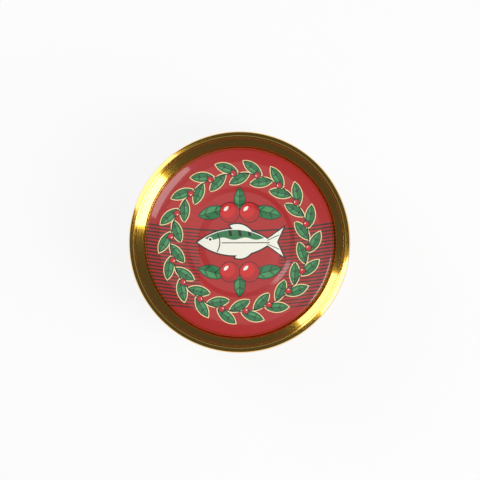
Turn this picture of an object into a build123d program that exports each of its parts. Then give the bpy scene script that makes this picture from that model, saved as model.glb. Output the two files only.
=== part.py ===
"""A small round fish can: a drawn body with a stepped end seamed onto its rim.

Millimetres, +Z up, origin at the centre of the ring that the can stands on. Every
section is drawn in the XZ plane, as radius and height, and turned about the Z axis.
"""

from build123d import *
import os

os.makedirs("parts", exist_ok=True)

# Overall sizes
wall_diameter = 66.6
can_height = 32.0
plate = 0.20

# Double seam: the ring that holds the lid to the body
seam_overhang = 0.85
seam_height = 3.00
seam_land = 0.65
seam_top_round = 0.60
seam_foot_round = 0.50

# Countersink: the chuck wall inside the seam, the slope below it and the groove
countersink_depth = 3.00
chuck_wall_drop = 1.30
chuck_wall_lean = 0.40
chuck_slope_run = 2.80
groove_width = 0.60
chuck_top_round = 0.45
chuck_foot_round = 1.00
groove_outer_round = 1.00
groove_inner_round = 0.28

# Raised panel of the lid, from its shoulder in to its middle
panel_wall_rise = 0.90
panel_wall_lean = 0.30
outer_slope_run = 3.40
outer_slope_rise = 0.75
inner_slope_run = 3.30
inner_slope_drop = 0.45
ledge_run = 4.70
well_slope_run = 3.10
well_drop = 0.40
well_dome = 0.15
shoulder_round = 0.35
crest_round = 1.20
step_round = 1.20
ledge_edge_round = 1.00

# Underside: a necked foot that nests in the seam of the can below, and two pressed steps
foot_inset = 0.95
foot_height = 1.60
neck_rise = 1.30
foot_land = 3.20
foot_round = 1.00
neck_round = 0.80
base_recess = 0.90
base_step_run = 0.80
base_ring_run = 6.40
base_bead_run = 8.80
base_bead_drop = 0.40
base_round = 0.60

wall_radius = wall_diameter / 2
seam_radius = wall_radius + seam_overhang
seam_middle = wall_radius + seam_overhang / 2

# Radii of the lid, worked inwards from the seam
seam_inner = seam_radius - seam_top_round - seam_land
chuck_foot = seam_inner - chuck_wall_lean
groove_outer = chuck_foot - chuck_slope_run
groove_inner = groove_outer - groove_width
shoulder = groove_inner - panel_wall_lean
crest = shoulder - outer_slope_run
ledge_outer = crest - inner_slope_run
ledge_inner = ledge_outer - ledge_run
well_radius = ledge_inner - well_slope_run

# Heights of the lid, worked up from its groove
groove_z = can_height - countersink_depth
shoulder_z = groove_z + panel_wall_rise
crest_z = shoulder_z + outer_slope_rise
ledge_z = crest_z - inner_slope_drop
well_z = ledge_z - well_drop

# Radii of the underside, worked inwards from the foot
foot_radius = wall_radius - foot_inset
foot_inner = foot_radius - foot_land
recess_radius = foot_inner - base_step_run
bead_outer = recess_radius - base_ring_run
bead_inner = bead_outer - base_bead_run
bead_z = base_recess - base_bead_drop


# The area under the lid's upper face, from the axis out and deeper than the can
with BuildSketch() as cover:
    with BuildLine():
        ThreePointArc(
            (0, well_z + well_dome),
            (well_radius / 2, well_z + well_dome * 3 / 4),
            (well_radius, well_z),
        )
        FilletPolyline(
            (well_radius, well_z),
            (ledge_inner, ledge_z),
            (ledge_outer, ledge_z),
            (crest, crest_z),
            (shoulder, shoulder_z),
            (groove_inner, groove_z),
            (groove_outer, groove_z),
            (chuck_foot, can_height - chuck_wall_drop),
            (seam_inner, can_height),
            (seam_middle, can_height),
            radius=[
                ledge_edge_round,
                step_round,
                crest_round,
                shoulder_round,
                groove_inner_round,
                groove_outer_round,
                chuck_foot_round,
                chuck_top_round,
            ],
        )
        Polyline(
            (seam_middle, can_height),
            (seam_middle, -can_height),
            (0, -can_height),
            (0, well_z + well_dome),
        )
    make_face()

# The same area below the lid's plate, inset while it is whole across the axis
with BuildSketch() as under_lid:
    add(cover.sketch)
    mirror(about=Plane.YZ)
    offset(amount=-plate)

# Body: the drawn cup with what fills it, as one solid. Its wall runs up inside the
# seam, and its top is shaped by the underside of the lid that lies on it.
with BuildPart() as body:
    with BuildSketch(Plane.XZ):
        with BuildLine():
            FilletPolyline(
                (0, bead_z),
                (bead_inner - base_step_run, bead_z),
                (bead_inner, base_recess),
                (bead_inner + base_step_run, bead_z),
                (bead_outer - base_step_run, bead_z),
                (bead_outer, base_recess),
                (recess_radius, base_recess),
                (foot_inner, 0),
                (foot_radius, 0),
                (foot_radius, foot_height),
                (wall_radius, foot_height + neck_rise),
                (wall_radius, can_height),
                radius=[base_round] * 7 + [foot_round] + [neck_round] * 2,
            )
            Polyline((wall_radius, can_height), (0, can_height), (0, bead_z))
        make_face()
        add(under_lid.sketch, mode=Mode.INTERSECT)
    revolve(axis=Axis.Z)
body.part.label = "body"
export_step(body.part, "parts/body.step")

# Lid: one plate from the middle of the well to the seam, whose curled ring closes
# over the top of the body's wall. The folds inside the ring are pressed solid.
with BuildPart() as lid:
    with BuildSketch(Plane.XZ):
        add(cover.sketch)
        add(under_lid.sketch, mode=Mode.SUBTRACT)
        with Locations((0, can_height)):
            Rectangle(
                wall_radius,
                countersink_depth + plate,
                align=(Align.MIN, Align.MAX),
                mode=Mode.INTERSECT,
            )
        with BuildLine():
            FilletPolyline(
                (wall_radius, can_height),
                (seam_radius, can_height),
                (seam_radius, can_height - seam_height),
                (wall_radius, can_height - seam_height),
                radius=[seam_top_round, seam_foot_round],
            )
            Line((wall_radius, can_height - seam_height), (wall_radius, can_height))
        make_face()
    revolve(axis=Axis.Z)
lid.part.label = "lid"
export_step(lid.part, "parts/lid.step")

for piece in (body.part, lid.part):
    size = piece.bounding_box().size
    print(piece.label, "volume", round(piece.volume, 1), "mm3, box", size)
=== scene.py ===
# %% [markdown]
# # A small round fish can, seen from above
# The can is two pieces of tinplate: a drawn body and a stepped lid, folded together
# into a double seam. Its CAD model is loaded first and is never moved. Each finish is
# then made as a turned mesh with a procedural material that lies over its CAD solid.

# %% Load the frame
import math

import bmesh
import bpy
from mathutils import Matrix, Vector


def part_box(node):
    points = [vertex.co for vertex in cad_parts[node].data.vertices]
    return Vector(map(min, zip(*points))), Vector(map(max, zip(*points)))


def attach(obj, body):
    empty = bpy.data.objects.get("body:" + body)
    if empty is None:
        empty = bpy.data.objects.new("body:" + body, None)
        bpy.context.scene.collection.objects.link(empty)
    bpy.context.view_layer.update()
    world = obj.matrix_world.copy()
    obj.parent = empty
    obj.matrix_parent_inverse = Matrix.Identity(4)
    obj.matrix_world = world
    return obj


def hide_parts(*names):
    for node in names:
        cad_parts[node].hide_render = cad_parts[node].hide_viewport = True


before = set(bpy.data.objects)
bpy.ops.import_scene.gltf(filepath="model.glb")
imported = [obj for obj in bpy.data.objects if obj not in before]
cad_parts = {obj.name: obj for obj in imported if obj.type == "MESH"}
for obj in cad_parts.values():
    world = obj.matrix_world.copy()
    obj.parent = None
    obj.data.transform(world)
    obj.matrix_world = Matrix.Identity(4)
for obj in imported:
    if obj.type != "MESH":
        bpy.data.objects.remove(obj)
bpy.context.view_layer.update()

# %% [markdown]
# ## Sizes
# The sizes below are the ones a can maker would name: the wall, the seam, the groove
# inside the seam and the steps of the pressed panel. They are written in millimetres,
# with the overall ones read from the frame. The groove is 0.2 mm wider here than on
# the solid, and the panel inside it about 0.25 mm lower.

# %% Named sizes
MM = 0.001
lid_high = Vector(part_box("lid")[1]) / MM
body_high = Vector(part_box("body")[1]) / MM
SEAM_R = lid_high.x
WALL_R = body_high.x
TOP = lid_high.z
PLATE = 0.20

SEAM_INNER = SEAM_R - 1.25
CHUCK_FOOT = SEAM_INNER - 0.40
GROOVE_OUT = CHUCK_FOOT - 2.80
GROOVE_IN = GROOVE_OUT - 0.80
SHOULDER = GROOVE_IN - 0.15
CREST = SHOULDER - 3.40
LEDGE_OUT = CREST - 3.30
LEDGE_IN = LEDGE_OUT - 4.70
WELL = LEDGE_IN - 3.10

GROOVE_Z = TOP - 3.00
CHUCK_FOOT_Z = TOP - 1.30
SHOULDER_Z = GROOVE_Z + 0.45
CREST_Z = SHOULDER_Z + 0.95
LEDGE_Z = CREST_Z - 0.45
WELL_Z = LEDGE_Z - 0.40
SEAM_FOOT_Z = TOP - 3.00
print("seam radius", SEAM_R, "wall radius", WALL_R, "top", TOP)

# %% [markdown]
# ## Camera
# A can's lid is shown best from almost straight above with a long lens, which keeps
# the circle round. A tilt of a few degrees lets a thin line of the seam's outer wall
# show on the near side. The shift only slides the can to its place in the frame.

# %% Camera
TILT = math.radians(4.6)
TILT_WAY = math.radians(-36)
LENS = 200
SENSOR = 36
FRAME_WIDTH = 0.1495
distance = FRAME_WIDTH * LENS / SENSOR
aim = Vector((0, 0, TOP * MM))
sideways = math.sin(TILT)
reach = Vector((sideways * math.cos(TILT_WAY), sideways * math.sin(TILT_WAY), math.cos(TILT)))

camera_data = bpy.data.cameras.new("camera")
camera_data.lens = LENS
camera_data.sensor_width = SENSOR
camera_data.clip_start = 0.01
camera_data.shift_x = 0.0018
camera_data.shift_y = 0.0038
camera = bpy.data.objects.new("camera", camera_data)
bpy.context.scene.collection.objects.link(camera)
camera.location = aim + distance * reach
across = Vector((0, 1, 0)).cross(reach).normalized()
upward = reach.cross(across)
camera.rotation_euler = Matrix((across, upward, reach)).transposed().to_euler()
bpy.context.scene.camera = camera
print("camera stands", round(distance, 3), "m from the lid")

# %% [markdown]
# ## Shader expressions
# Patterns are easiest to read as sums. A small class wraps a node socket, so that an
# expression such as `1 - mask * 0.5` adds its Math nodes by itself.

# %% A socket that can be added and multiplied


class Value:
    """A shader socket that holds a number."""

    def __init__(self, shader, socket):
        self.shader = shader
        self.socket = socket

    def math(self, operation, *others, clamp=False):
        settings = {"operation": operation, "use_clamp": clamp}
        return self.shader.node("Math", settings, dict(enumerate((self, *others))))

    def __add__(self, other):
        return self.math("ADD", other)

    def __sub__(self, other):
        return self.math("SUBTRACT", other)

    def __mul__(self, other):
        return self.math("MULTIPLY", other)

    def __truediv__(self, other):
        return self.math("DIVIDE", other)

    def __rsub__(self, other):
        return self.shader.node("Math", {"operation": "SUBTRACT"}, {0: other, 1: self})

    __radd__ = __add__
    __rmul__ = __mul__

    def abs(self):
        return self.math("ABSOLUTE")

    def sine(self):
        return self.math("SINE")

    def root(self):
        return self.math("SQRT")

    def both(self, other):
        """The smaller of two values: where two masks meet."""
        return self.math("MINIMUM", other)

    def either(self, other):
        """The larger of two values: where one mask or the other lies."""
        return self.math("MAXIMUM", other)

    def inside(self, edge=0.07):
        """1 where this distance is below zero, with a soft edge as wide as edge."""
        return (0.5 - self / edge).math("ADD", 0, clamp=True)


class Shader:
    """One material, its nodes and the patterns that are drawn on it."""

    def __init__(self, name):
        self.material = bpy.data.materials.new(name)
        self.material.use_nodes = True
        self.tree = self.material.node_tree
        self.tree.nodes.clear()

    def node(self, kind, settings=None, inputs=None, output=0):
        made = self.tree.nodes.new("ShaderNode" + kind)
        for key, setting in (settings or {}).items():
            setattr(made, key, setting)
        for key, given in (inputs or {}).items():
            if isinstance(given, Value):
                self.tree.links.new(given.socket, made.inputs[key])
            else:
                made.inputs[key].default_value = given
        return Value(self, made.outputs[output])

    def place(self):
        """Object coordinates in millimetres, as three values."""
        where = self.node("TexCoord", output="Object")
        split = self.node("SeparateXYZ", {}, {0: where})
        axes = [Value(self, split.socket.node.outputs[name]) * (1 / MM) for name in "XYZ"]
        return axes, where

    def noise(self, where, scale, detail=3.0):
        return self.node("TexNoise", {}, {"Vector": where, "Scale": scale, "Detail": detail})

    def mix(self, mask, under, over):
        """Lay one colour over another where the mask is 1."""
        return self.node("Mix", {"data_type": "RGBA"}, {0: mask, 6: under, 7: over}, output=2)

    def finish(self, surface):
        out = self.tree.nodes.new("ShaderNodeOutputMaterial")
        self.tree.links.new(surface.socket, out.inputs["Surface"])
        return self.material


def length(x, y):
    return (x * x + y * y).root()


def turned(x, y, degrees):
    """The same point in axes turned by an angle."""
    c, s = math.cos(math.radians(degrees)), math.sin(math.radians(degrees))
    return x * c + y * s, y * c - x * s


def circle(x, y, cx, cy, radius):
    return length(x - cx, y - cy) - radius


def leaf(x, y, cx, cy, degrees, half_length, half_width):
    """A pointed leaf from two arcs; returns its distance and its own axes."""
    u, v = turned(x - cx, y - cy, degrees)
    big = (half_length**2 + half_width**2) / (2 * half_width)
    return length(u, v.abs() + (big - half_width)) - big, u, v


# %% [markdown]
# ## Colours
# Printing inks on tinplate are a handful of flat colours. They are written here as
# the screen shows them and turned to linear light once, by the usual formula.

# %% Inks and lacquers


def ink(red, green, blue):
    """A screen colour, 0 to 255, as linear light."""
    parts = [part / 255 for part in (red, green, blue)]
    return (*(((p + 0.055) / 1.055) ** 2.4 if p > 0.04 else p / 12.92 for p in parts), 1)


RED = ink(180, 36, 36)
DEEP_RED = ink(150, 26, 28)
BRIGHT_RED = ink(212, 34, 34)
LEAF_GREEN = ink(38, 122, 70)
LIGHT_GREEN = ink(72, 152, 92)
STRIPE_GREEN = ink(34, 52, 42)
OUTLINE = ink(20, 28, 28)
PALE_YELLOW = ink(242, 230, 165)
CREAM = ink(247, 246, 232)
GOLD = (0.86, 0.50, 0.045, 1)
DEEP_GOLD = (0.76, 0.40, 0.028, 1)
RUBBED_GOLD = (0.30, 0.15, 0.02, 1)
# Painted shade: a near-black colour for the lower seam wall, standing in for shade under the seam.
SEAM_SIDE_PAINTED_SHADE = (0.10, 0.028, 0.022, 1)
print("field red, linear", [round(c, 3) for c in RED[:3]])

# %% [markdown]
# ## Gold lacquer
# Bare plate at the seam is clear-coated with a gold lacquer, so it shines as yellow
# metal. A metallic shader with a soft roughness does this. Fine rolling marks run
# round the can, and a few rubbed specks break the shine as handling does. The lower
# part of the seam's outer wall is painted near black, as painted shade under the seam.

# %% Gold finish


def gold_surface(shader):
    """Lacquered plate: a metallic surface with turned marks, clouding, specks and painted seam shade."""
    (x, y, z), where = shader.place()
    radius = length(x, y)
    ring_marks = shader.node(
        "TexNoise",
        {"noise_dimensions": "1D"},
        {"W": radius * 3 + z * 5, "Scale": 3.0, "Detail": 4.0},
    )
    cloud = shader.noise(where, 140.0)
    grit = shader.noise(where, 2600.0, 2.0)
    speck = ((grit - 0.70) * 9).math("ADD", 0, clamp=True)
    colour = shader.mix((cloud - 0.3) * 1.1, GOLD, DEEP_GOLD)
    colour = shader.mix(speck * 0.7, colour, RUBBED_GOLD)
    # Painted shade: the lower part of the seam's outer wall is darkened as if shade fell under the seam.
    seam_side_painted_shade = (SEAM_R - 0.12 - radius).inside(0.1).both((z - (TOP - 1.1)).inside(0.5))
    colour = shader.mix(seam_side_painted_shade * 0.9, colour, SEAM_SIDE_PAINTED_SHADE)
    rough = 0.09 + cloud * 0.06 + ring_marks * 0.04 + speck * 0.25
    relief = ring_marks * 0.5 + cloud * 1.2 + grit * 0.25
    bump = shader.node("Bump", {}, {"Strength": 0.12, "Distance": 0.00004, "Height": relief})
    return shader.node(
        "BsdfPrincipled",
        {},
        {
            "Base Color": colour,
            "Metallic": 1.0,
            "Roughness": rough,
            "Coat Weight": 1.0,
            "Coat Roughness": 0.05,
            "Coat IOR": 1.85,
            "Normal": bump,
        },
    )


rim_shader = Shader("gold_lacquer")
gold_material = rim_shader.finish(gold_surface(rim_shader))

# %% [markdown]
# ## The lid's print
# The panel is red, with fine dark stripes at its left and right, a wreath of leaves
# and berries that follows its ring, and a fish between two sprigs. Every motif is a
# distance: below zero is inside. A leaf is where two circles overlap, and the wreath
# is one leaf repeated by folding the angle into equal sectors.

# %% Print on the panel


class Print:
    """Layers of ink laid one over another."""

    def __init__(self, shader, ground):
        self.shader = shader
        self.colour = ground

    def lay(self, mask, colour):
        self.colour = self.shader.mix(mask, self.colour, colour)

    def edged(self, distance, colour, dark=0.28, pale=0.0):
        """A shape with a dark outline and, where asked, a pale one around that."""
        if pale:
            self.lay((distance - dark - pale).inside(), PALE_YELLOW)
        self.lay((distance - dark).inside(), OUTLINE)
        self.lay(distance.inside(), colour)

    def leaf(self, shape, half_length, pale=0.0):
        """A two-tone leaf with a dark midrib and side veins."""
        distance, u, v = shape
        self.edged(distance, LEAF_GREEN, dark=0.22, pale=pale)
        inner = (distance + 0.28).inside()
        self.lay(inner.both((v * -1).inside(0.1)), LIGHT_GREEN)
        veins = ((u * 4.2 / (half_length * 0.5) - v.abs() * 1.6).sine() - 0.86) * -1
        self.lay(inner.both(veins.inside(0.3)) * 0.75, OUTLINE)
        self.lay(inner.both((v.abs() - 0.09).inside()), OUTLINE)

    def berry(self, x, y, cx, cy, radius):
        """A round red fruit with a shaded edge and a white highlight."""
        distance = circle(x, y, cx, cy, radius)
        self.edged(distance, BRIGHT_RED, dark=0.24)
        lit = circle(x, y, cx - radius * 0.25, cy + radius * 0.25, radius * 0.8)
        shade = (lit * -1).inside(radius * 0.2)
        self.lay(shade.both((distance + 0.1).inside()) * 0.55, DEEP_RED)
        glint = (cx - radius * 0.38, cy + radius * 0.40)
        shine, _, _ = leaf(x, y, *glint, 45, radius * 0.34, radius * 0.17)
        self.lay(shine.inside(), CREAM)


WREATH_R = 21.6
WREATH_COUNT = 18


def wreath(art, shader, x, y):
    """Leaves in pairs along a ring, with a berry between each two pairs."""
    radius = length(x, y)
    angle = shader.node("Math", {"operation": "ARCTAN2"}, {0: y, 1: x})
    step = math.tau / WREATH_COUNT
    for turn, tilt, middle in ((0.0, 62, WREATH_R + 1.9), (0.5, 118, WREATH_R - 1.7)):
        sector = (angle / step + turn).math("ROUND")
        local = angle - (sector - turn) * step
        lx = radius * local.math("COSINE")
        ly = radius * local.sine()
        art.leaf(leaf(lx, ly, middle, 0, tilt, 3.3, 1.25), 3.3, pale=0.28)
    ring = (radius - WREATH_R).abs() - 0.16
    art.lay(ring.inside(), OUTLINE)
    sector = (angle / step + 0.25).math("ROUND")
    local = angle - (sector - 0.25) * step
    art.berry(radius * local.math("COSINE"), radius * local.sine(), WREATH_R, 0, 0.85)


def fish(art, x, y):
    """A plain fish with its head to the left: green back, cream belly, stripes."""
    body, _, _ = leaf(x, y, -1.6, 0, 0, 11.6, 4.1)
    tail = ((y.abs() - (x - 7.4) * 0.72).either(x - 13.2 + (3.4 - y.abs()) * 0.45))
    top_fin, _, _ = leaf(x, y, 0.4, 4.2, -16, 3.6, 1.3)
    low_fin, _, _ = leaf(x, y, 1.2, -3.9, 20, 2.8, 1.0)
    whole = body.both(tail).both(top_fin).both(low_fin)
    art.edged(whole, CREAM, dark=0.42)
    skin = (body + 0.25).inside()
    art.lay(skin.both((1.1 + (x * 0.9).sine() * 0.35 - y).inside(0.1)), LEAF_GREEN)
    bars = ((x * 2.1 + y * 0.5).sine() - 0.55) * -1
    back = skin.both((1.9 - y).inside(0.1))
    art.lay(back.both(bars.inside(0.2)).both((-5.2 - x).inside()), OUTLINE)
    gill = circle(x, y, -11.8, 0, 5.6).abs() - 0.16
    art.lay(skin.both(gill.inside()), OUTLINE)
    art.lay(skin.both(((y + 0.2).abs() - 0.14).inside()).both((-5.6 - x).inside()), OUTLINE)
    ribs = (((y.abs() - (x - 7.4) * 0.45).abs() - 0.12).inside()).both((tail + 0.3).inside())
    art.lay(ribs.both((8.6 - x).inside()), OUTLINE)
    art.lay(circle(x, y, -9.2, 0.9, 0.75).inside(), CREAM)
    art.lay(circle(x, y, -9.2, 0.9, 0.42).inside(), OUTLINE)


def sprig(art, x, y, side):
    """Three leaves and two fruits above the fish, or below it for side -1."""
    up = y * side
    for cx, cy, tilt, half in ((-8.6, 9.3, 14, 4.4), (8.6, 9.3, -14, 4.4), (0, 13.4, 90, 3.6)):
        art.leaf(leaf(x, up, cx, cy, tilt, half, half * 0.45), half)
    for cx in (-3.1, 3.1):
        art.berry(x, y, cx, 9.3 * side, 3.0)


STRIPE_PITCH = 1.06


def panel_print(shader):
    """The whole panel, as one colour worked out from the place in millimetres."""
    (x, y, z), where = shader.place()
    field = shader.mix((shader.noise(where, 60.0) - 0.35) * 0.6, RED, ink(188, 42, 40))
    art = Print(shader, field)
    level = y - x * x * 0.0028
    lines = (level * (math.tau / STRIPE_PITCH)).sine()
    taper = 0.95 - x.abs() * 0.032
    sides = (12.4 - x.abs()).inside().both((level - 3.0).inside()).both((-21.5 - level).inside())
    art.lay(sides.both((taper - lines).inside(0.45)) * 0.94, STRIPE_GREEN)
    art.lay(((level - 3.5).abs() - 0.26).inside() * 0.94, STRIPE_GREEN)
    wreath(art, shader, x, y)
    sprig(art, x, y, 1)
    sprig(art, x, y, -1)
    fish(art, x, y)
    return art.colour, where


def glossy_print(shader, colour, where):
    """Ink under a clear stoving varnish, with a faint ripple and fine scuffs."""
    ripple = shader.noise(where, 190.0, 2.0)
    scuff = shader.noise(where, 1400.0, 4.0)
    worn = ((scuff - 0.69) * 10).math("ADD", 0, clamp=True)
    colour = shader.mix(worn * 0.35, colour, ink(225, 170, 160))
    relief = ripple + scuff * 0.08
    bump = shader.node("Bump", {}, {"Strength": 0.12, "Distance": 0.00005, "Height": relief})
    return shader.node(
        "BsdfPrincipled",
        {},
        {
            "Base Color": colour,
            "Roughness": 0.34 + worn * 0.2,
            "Specular IOR Level": 0.5,
            "Coat Weight": 0.96 - worn * 0.4,
            "Coat Roughness": 0.045,
            "Coat IOR": 1.6,
            "Normal": bump,
        },
    )


panel_shader = Shader("lid_print")
panel_material = panel_shader.finish(glossy_print(panel_shader, *panel_print(panel_shader)))
print("lid print uses", len(panel_shader.tree.nodes), "nodes")

# %% [markdown]
# ## The body's print
# The drawn wall carries the same inks: a deep red ground, dark pinstripes near both
# edges and a frieze of leaves and berries round the middle. The foot and underside
# are left in gold lacquer, because print would scuff off where the can stands.

# %% Print on the wall
FRIEZE_COUNT = 20
FRIEZE_Z = 16.2
WALL_PRINT_LOW = 3.2
WALL_PRINT_HIGH = 28.1


def wall_print(shader):
    (x, y, z), where = shader.place()
    angle = shader.node("Math", {"operation": "ARCTAN2"}, {0: y, 1: x})
    step = math.tau / FRIEZE_COUNT
    ground = shader.mix((shader.noise(where, 60.0) - 0.35) * 0.6, ink(160, 30, 32), ink(174, 36, 36))
    art = Print(shader, ground)
    up = z - FRIEZE_Z
    lines = (up * (math.tau / 1.28)).sine()
    bands = (6.2 - up.abs()).inside().both((up.abs() - 10.4).inside())
    art.lay(bands.both((0.35 - lines).inside(0.35)) * 0.92, STRIPE_GREEN)
    for turn, middle, tilt in ((0.0, 1.9, 28), (0.5, -1.9, -28)):
        sector = (angle / step + turn).math("ROUND")
        along = (angle - (sector - turn) * step) * WALL_R
        art.leaf(leaf(along, up, 0, middle, tilt, 3.5, 1.3), 3.5, pale=0.28)
    art.lay((up.abs() - 0.16).inside(), OUTLINE)
    sector = (angle / step + 0.25).math("ROUND")
    art.berry((angle - (sector - 0.25) * step) * WALL_R, up, 0, 0, 0.9)
    for height in (-5.6, 5.6):
        art.lay(((up - height).abs() - 0.2).inside(), PALE_YELLOW)
    return art.colour, where, z


body_shader = Shader("body_print")
wall_colour, wall_where, wall_z = wall_print(body_shader)
printed = glossy_print(body_shader, wall_colour, wall_where)
bare = gold_surface(body_shader)
on_wall = (WALL_PRINT_LOW - wall_z).inside(0.08).both((wall_z - WALL_PRINT_HIGH).inside(0.08))
two_finishes = body_shader.node("MixShader", {}, {0: on_wall, 1: bare, 2: printed})
body_material = body_shader.finish(two_finishes)
print("body print uses", len(body_shader.tree.nodes), "nodes")

# %% [markdown]
# ## Turned sections
# Every piece of a can is round, so each is one outline turned about the axis. The
# outline's corners are rounded with arcs, then a Geometry Nodes tree folds a
# flat grid round the axis: one row of the grid for each point of the outline. A small
# wave, strongest at the top of the seam, keeps the folded ring from looking machined.

# %% Outline with rounded corners
ARC_STEP = math.radians(7)


def rounded(corners):
    """Points of a radius-height outline; each corner is (radius, height, rounding).

    Known fault: slerp gives vectors of length 1, so every arc has a radius of 1 mm and
    stands proud of a smaller rounding. The mend is centre + spoke.normalized() * rounding.
    """
    points = []
    last = len(corners) - 1
    for i, (r, z, rounding) in enumerate(corners):
        here = Vector((r, z))
        if rounding == 0 or i in (0, last):
            points.append(here)
            continue
        back = (Vector(corners[i - 1][:2]) - here).normalized()
        ahead = (Vector(corners[i + 1][:2]) - here).normalized()
        half_turn = (math.pi - back.angle(ahead)) / 2
        start = here + back * (rounding * math.tan(half_turn))
        end = here + ahead * (rounding * math.tan(half_turn))
        centre = here + (back + ahead).normalized() * (rounding / math.cos(half_turn))
        count = max(2, math.ceil(2 * half_turn / ARC_STEP))
        for k in range(count + 1):
            spoke = (start - centre).slerp(end - centre, k / count)
            points.append(centre + spoke)
    return points


# %% Lathe tree
SEGMENTS = 288
WELD = 1e-6


def lathe_tree():
    """Fold a grid round the Z axis so that each row follows one outline point."""
    tree = bpy.data.node_groups.new("lathe", "GeometryNodeTree")
    face = tree.interface
    face.new_socket("Geometry", in_out="INPUT", socket_type="NodeSocketGeometry")
    face.new_socket("Rows", in_out="INPUT", socket_type="NodeSocketInt")
    face.new_socket("Segments", in_out="INPUT", socket_type="NodeSocketInt")
    face.new_socket("Wave", in_out="INPUT", socket_type="NodeSocketFloat")
    face.new_socket("Wave Height", in_out="INPUT", socket_type="NodeSocketFloat")
    face.new_socket("Material", in_out="INPUT", socket_type="NodeSocketMaterial")
    face.new_socket("Geometry", in_out="OUTPUT", socket_type="NodeSocketGeometry")

    def add(kind, settings=None, inputs=None):
        made = tree.nodes.new(kind)
        for key, setting in (settings or {}).items():
            setattr(made, key, setting)
        for key, given in (inputs or {}).items():
            if isinstance(given, bpy.types.NodeSocket):
                tree.links.new(given, made.inputs[key])
            else:
                made.inputs[key].default_value = given
        return made

    def math_node(operation, a, b=0.0, clamp=False):
        settings = {"operation": operation, "use_clamp": clamp}
        return add("ShaderNodeMath", settings, {0: a, 1: b}).outputs[0]

    given = add("NodeGroupInput").outputs
    columns = math_node("ADD", given["Segments"], 1.0)
    grid = add(
        "GeometryNodeMeshGrid",
        {},
        {"Size X": 1.0, "Size Y": 1.0, "Vertices X": columns, "Vertices Y": given["Rows"]},
    )
    position = add("GeometryNodeInputPosition").outputs[0]
    split = add("ShaderNodeSeparateXYZ", {}, {0: position})
    angle = math_node("MULTIPLY", math_node("ADD", split.outputs["X"], 0.5), math.tau)
    last_row = math_node("SUBTRACT", given["Rows"], 1.0)
    row = math_node("ROUND", math_node("MULTIPLY", math_node("ADD", split.outputs["Y"], 0.5), last_row))
    sample = add(
        "GeometryNodeSampleIndex",
        {"data_type": "FLOAT_VECTOR"},
        {"Geometry": given["Geometry"], "Value": position, "Index": row},
    )
    outline = add("ShaderNodeSeparateXYZ", {}, {0: sample.outputs[0]})
    cosine = math_node("COSINE", angle)
    sine = math_node("SINE", angle)
    around = add("ShaderNodeCombineXYZ", {}, {0: cosine, 1: sine}).outputs[0]
    noise = add("ShaderNodeTexNoise", {}, {"Vector": around, "Scale": 5.0, "Detail": 3.0}).outputs[0]
    swing = math_node("MULTIPLY", math_node("SUBTRACT", noise, 0.5), given["Wave"])
    height = math_node("SUBTRACT", outline.outputs["Z"], given["Wave Height"])
    near_top = math_node("MULTIPLY", height, 1 / MM, clamp=True)
    radius = math_node("ADD", outline.outputs["X"], math_node("MULTIPLY", swing, near_top))
    x = math_node("MULTIPLY", radius, cosine)
    y = math_node("MULTIPLY", radius, sine)
    folded = add("ShaderNodeCombineXYZ", {}, {0: x, 1: y, 2: outline.outputs["Z"]}).outputs[0]
    shape = add("GeometryNodeSetPosition", {}, {"Geometry": grid.outputs[0], "Position": folded})
    for kind, inputs in (
        ("GeometryNodeMergeByDistance", {"Distance": WELD}),
        ("GeometryNodeRealizeInstances", {}),
        ("GeometryNodeSetMaterial", {"Material": given["Material"]}),
    ):
        shape = add(kind, {}, {"Geometry": shape.outputs[0], **inputs})
    add("NodeGroupOutput", {}, {"Geometry": shape.outputs[0]})
    return tree


LATHE = lathe_tree()


def turned_piece(name, outline, material, wave=0.0, wave_height=0.0):
    """Turn an outline, in millimetres, into a plain mesh object at the origin."""
    line = bpy.data.meshes.new(name + "_line")
    line.from_pydata([(r * MM, 0, z * MM) for r, z in outline], [], [])
    source = bpy.data.objects.new(name + "_line", line)
    bpy.context.scene.collection.objects.link(source)
    lathe = source.modifiers.new("lathe", "NODES")
    lathe.node_group = LATHE
    values = {
        "Rows": len(outline),
        "Segments": SEGMENTS,
        "Wave": wave * MM,
        "Wave Height": wave_height * MM,
        "Material": material,
    }
    for socket in LATHE.interface.items_tree:
        if socket.in_out == "INPUT" and socket.name in values:
            lathe[socket.identifier] = values[socket.name]
    evaluated = source.evaluated_get(bpy.context.evaluated_depsgraph_get())
    mesh = bpy.data.meshes.new_from_object(evaluated)
    bpy.data.objects.remove(source)
    shape = bmesh.new()
    shape.from_mesh(mesh)
    bmesh.ops.remove_doubles(shape, verts=shape.verts, dist=WELD)
    bmesh.ops.recalc_face_normals(shape, faces=shape.faces)
    shape.to_mesh(mesh)
    shape.free()
    mesh.name = name
    mesh.materials.clear()
    mesh.materials.append(material)
    mesh.shade_smooth()
    piece = bpy.data.objects.new(name, mesh)
    bpy.context.scene.collection.objects.link(piece)
    print(name, len(outline), "rows,", len(mesh.polygons), "faces of", material.name)
    return piece


# %% [markdown]
# ## The lid
# The panel and the gold rim are one plate on the real can. They are two skins here,
# which meet on the steep wall of the groove, so that the print gets a flat map of its
# own and stays sharp when it is baked.

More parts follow.
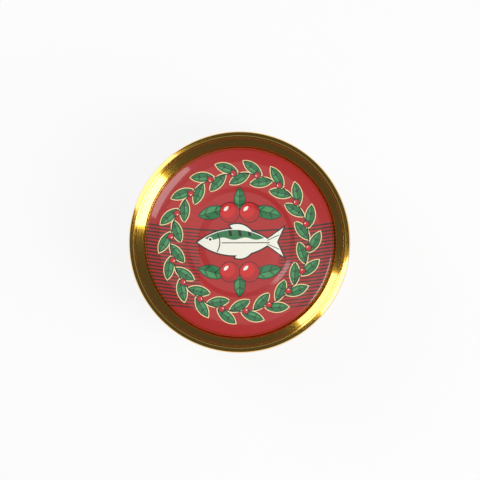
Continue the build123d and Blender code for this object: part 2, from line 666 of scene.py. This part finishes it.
# %% Panel and rim
PRINT_EDGE_RISE = 0.16
PRINT_EDGE_Z = GROOVE_Z + PRINT_EDGE_RISE
print_edge_r = GROOVE_IN - (GROOVE_IN - SHOULDER) * PRINT_EDGE_RISE / (SHOULDER_Z - GROOVE_Z)
well_arc = [(WELL * k / 6, WELL_Z + 0.15 * (1 - (k / 6) ** 2), 0) for k in range(6)]
panel_outline = rounded(
    well_arc
    + [
        (WELL, WELL_Z, 0.6),
        (LEDGE_IN, LEDGE_Z, 1.00),
        (LEDGE_OUT, LEDGE_Z, 1.20),
        (CREST, CREST_Z, 1.20),
        (SHOULDER, SHOULDER_Z, 0.30),
        (print_edge_r, PRINT_EDGE_Z, 0),
        (print_edge_r - 0.2, PRINT_EDGE_Z, 0),
        (SHOULDER - 0.4, SHOULDER_Z - PLATE, 0),
        (CREST, CREST_Z - PLATE, 0),
        (LEDGE_OUT, LEDGE_Z - PLATE, 0),
        (LEDGE_IN, LEDGE_Z - PLATE, 0),
        (WELL, WELL_Z - PLATE, 0),
        (0, WELL_Z - PLATE, 0),
    ]
)
panel = turned_piece("printed_panel", panel_outline, panel_material)

rim_outline = rounded(
    [
        (print_edge_r - 0.19, PRINT_EDGE_Z - 0.02, 0),
        (print_edge_r, PRINT_EDGE_Z, 0),
        (GROOVE_IN, GROOVE_Z, 0.20),
        (GROOVE_OUT, GROOVE_Z, 1.00),
        (CHUCK_FOOT, CHUCK_FOOT_Z, 1.00),
        (SEAM_INNER, TOP, 0.45),
        (SEAM_R, TOP, 0.60),
        (SEAM_R, SEAM_FOOT_Z, 0.50),
        (WALL_R - 0.1, SEAM_FOOT_Z, 0),
        (WALL_R - 0.1, TOP - 0.4, 0),
        (CHUCK_FOOT + PLATE, CHUCK_FOOT_Z, 0),
        (GROOVE_OUT, GROOVE_Z - PLATE, 0),
        (GROOVE_IN, GROOVE_Z - PLATE, 0),
        (print_edge_r - 0.19, PRINT_EDGE_Z - 0.02, 0),
    ]
)
rim = turned_piece("gold_rim", rim_outline, gold_material, wave=0.05, wave_height=TOP - 1.2)

# %% Flat map for the print
flat = panel.data.uv_layers.new(name="OFBake")
MAP_SPAN = 2 * SHOULDER * 1.02
for loop in panel.data.loops:
    x, y, z = panel.data.vertices[loop.vertex_index].co / (MAP_SPAN * MM)
    flat.data[loop.index].uv = (x + 0.5, y + 0.5)
print("print map spans", round(MAP_SPAN, 1), "mm")

# %% [markdown]
# ## The body
# The drawn cup has a straight wall, a necked foot that nests in the seam of the can
# below, and two shallow steps pressed into its base to stiffen it.

# %% Body
FOOT_HEIGHT = 1.60
NECK_TOP = FOOT_HEIGHT + 1.30
BASE_STEP = 0.80
BASE_ROUND = 0.60
BASE_Z = 0.90
BEAD_Z = BASE_Z - 0.40
FOOT_R = WALL_R - 0.95
FOOT_IN = FOOT_R - 3.20
RECESS = FOOT_IN - BASE_STEP
BEAD_OUT = RECESS - 6.40
BEAD_IN = BEAD_OUT - 8.80
WALL_TOP = TOP - 1.0
FILL_TOP = GROOVE_Z - 0.4
INNER_R = WALL_R - 0.15
body_outline = rounded(
    [
        (0, BEAD_Z, 0),
        (BEAD_IN - BASE_STEP, BEAD_Z, BASE_ROUND),
        (BEAD_IN, BASE_Z, BASE_ROUND),
        (BEAD_IN + BASE_STEP, BEAD_Z, BASE_ROUND),
        (BEAD_OUT - BASE_STEP, BEAD_Z, BASE_ROUND),
        (BEAD_OUT, BASE_Z, BASE_ROUND),
        (RECESS, BASE_Z, BASE_ROUND),
        (FOOT_IN, 0, BASE_ROUND),
        (FOOT_R, 0, 1.00),
        (FOOT_R, FOOT_HEIGHT, 0.80),
        (WALL_R, NECK_TOP, 0.80),
        (WALL_R, WALL_TOP, 0),
        (INNER_R, WALL_TOP, 0),
        (INNER_R, FILL_TOP, 0),
        (0, FILL_TOP, 0),
    ]
)
body = turned_piece("drawn_body", body_outline, body_material)

# %% [markdown]
# ## What rides on what
# Nothing on a shut can moves, so every piece rides on the one body, and the CAD solid
# under each skin is hidden.

# %% Ride and replace
for piece, node in ((panel, "lid"), (rim, "lid"), (body, "body")):
    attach(piece, "root")
    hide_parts(node)

# %% [markdown]
# ## Floor and light
# The can stands on a white table. Its brightness for the camera and in reflections is
# set by colour alone, and the shadow still darkens it. Two tall soft boxes at the
# left and right draw the highlights, and a dim card wall round the table keeps the
# rest of the gold dark, as black flags do in a studio.

# %% Floor
FLOOR_SIZE = 6
FLOOR_WHITE = 0.85
floor_shader = Shader("white_table")
light_path = floor_shader.tree.nodes.new("ShaderNodeLightPath")
seen = Value(floor_shader, light_path.outputs["Is Camera Ray"])
seen = seen.either(Value(floor_shader, light_path.outputs["Is Glossy Ray"]))
seen = seen.either(Value(floor_shader, light_path.outputs["Is Transmission Ray"]))
matte = floor_shader.node("BsdfDiffuse", {}, {"Color": (0.88, 0.88, 0.88, 1)})
white = floor_shader.node("Emission", {}, {"Color": (1, 1, 1, 1), "Strength": 1.0})
table_surface = floor_shader.node("MixShader", {}, {0: seen * FLOOR_WHITE, 1: matte, 2: white})
bpy.ops.mesh.primitive_plane_add(size=FLOOR_SIZE)
floor = bpy.context.object
floor.name = "table"
floor.data.materials.append(floor_shader.finish(table_surface))

# %% Dim cards, seen only in reflections
CARD_R = 0.72
CARD_HEIGHT = 1.70
HOLE_R = 0.38
CARD_FOOT = 0.004
CARD_SIDES = 96
CARD_GLOW = 0.09
CEILING_GLOW = 0.58
card_shader = Shader("dim_card")
card_glow = card_shader.node("Emission", {}, {"Color": (1, 0.97, 0.94, 1), "Strength": CARD_GLOW})
card_material = card_shader.finish(card_glow)
ceiling_shader = Shader("pale_ceiling")
ceiling_glow = ceiling_shader.node("Emission", {}, {"Color": (1, 0.98, 0.95, 1), "Strength": CEILING_GLOW})
ceiling_material = ceiling_shader.finish(ceiling_glow)
card_mesh = bmesh.new()
rings = []
spots = [math.tau * k / CARD_SIDES for k in range(CARD_SIDES)]
ways = [(math.cos(a), math.sin(a)) for a in spots]
for radius, height in ((CARD_R, CARD_FOOT), (CARD_R, CARD_HEIGHT), (HOLE_R, CARD_HEIGHT)):
    rings.append([card_mesh.verts.new((radius * x, radius * y, height)) for x, y in ways])
for low, high in zip(rings, rings[1:]):
    for k in range(CARD_SIDES):
        card_mesh.faces.new((low[k - 1], low[k], high[k], high[k - 1]))
hole = card_mesh.faces.new(rings[-1])
hole.material_index = 1
card_data = bpy.data.meshes.new("dim_cards")
card_mesh.to_mesh(card_data)
card_mesh.free()
card_data.materials.append(card_material)
card_data.materials.append(ceiling_material)
card = bpy.data.objects.new("dim_cards", card_data)
bpy.context.scene.collection.objects.link(card)
card.visible_camera = False
card.visible_diffuse = False
card.visible_shadow = False

# %% World
WORLD_LIGHT = 0.32
world = bpy.data.worlds.new("studio")
bpy.context.scene.world = world
world.use_nodes = True
paths = world.node_tree.nodes.new("ShaderNodeLightPath")
ground = world.node_tree.nodes["Background"]
ground.inputs["Color"].default_value = (1, 1, 1, 1)
camera_or_glossy = world.node_tree.nodes.new("ShaderNodeMath")
camera_or_glossy.operation = "MAXIMUM"
either = world.node_tree.nodes.new("ShaderNodeMath")
either.operation = "MAXIMUM"
level = world.node_tree.nodes.new("ShaderNodeMapRange")
level.inputs["To Min"].default_value = WORLD_LIGHT
level.inputs["To Max"].default_value = 1.0
world.node_tree.links.new(paths.outputs["Is Camera Ray"], camera_or_glossy.inputs[0])
world.node_tree.links.new(paths.outputs["Is Glossy Ray"], camera_or_glossy.inputs[1])
world.node_tree.links.new(camera_or_glossy.outputs[0], either.inputs[0])
world.node_tree.links.new(paths.outputs["Is Transmission Ray"], either.inputs[1])
world.node_tree.links.new(either.outputs[0], level.inputs["Value"])
world.node_tree.links.new(level.outputs[0], ground.inputs["Strength"])

# %% Soft boxes
BOX_DISTANCE = 0.45


def soft_box(name, azimuth, half_width, top, radiance):
    """An upright lamp on the table, given by the angles it covers as the can sees it."""
    width = 2 * BOX_DISTANCE * math.tan(math.radians(half_width))
    height = BOX_DISTANCE * math.tan(math.radians(top))
    lamp = bpy.data.lights.new(name, "AREA")
    lamp.shape = "RECTANGLE"
    lamp.size = width
    lamp.size_y = height
    lamp.energy = radiance * math.pi * width * height
    box = bpy.data.objects.new(name, lamp)
    bpy.context.scene.collection.objects.link(box)
    way = Vector((math.cos(math.radians(azimuth)), math.sin(math.radians(azimuth)), 0))
    box.location = way * BOX_DISTANCE + Vector((0, 0, height / 2))
    box.rotation_euler = way.to_track_quat("Z", "Y").to_euler()
    box.visible_camera = False
    print(name, "gives", round(lamp.energy, 2), "W")
    return box


soft_box("right_box", 336, 17, 73, 5.2)
soft_box("left_box", 144, 16, 68, 3.0)

bpy.context.scene.view_settings.view_transform = "Standard"
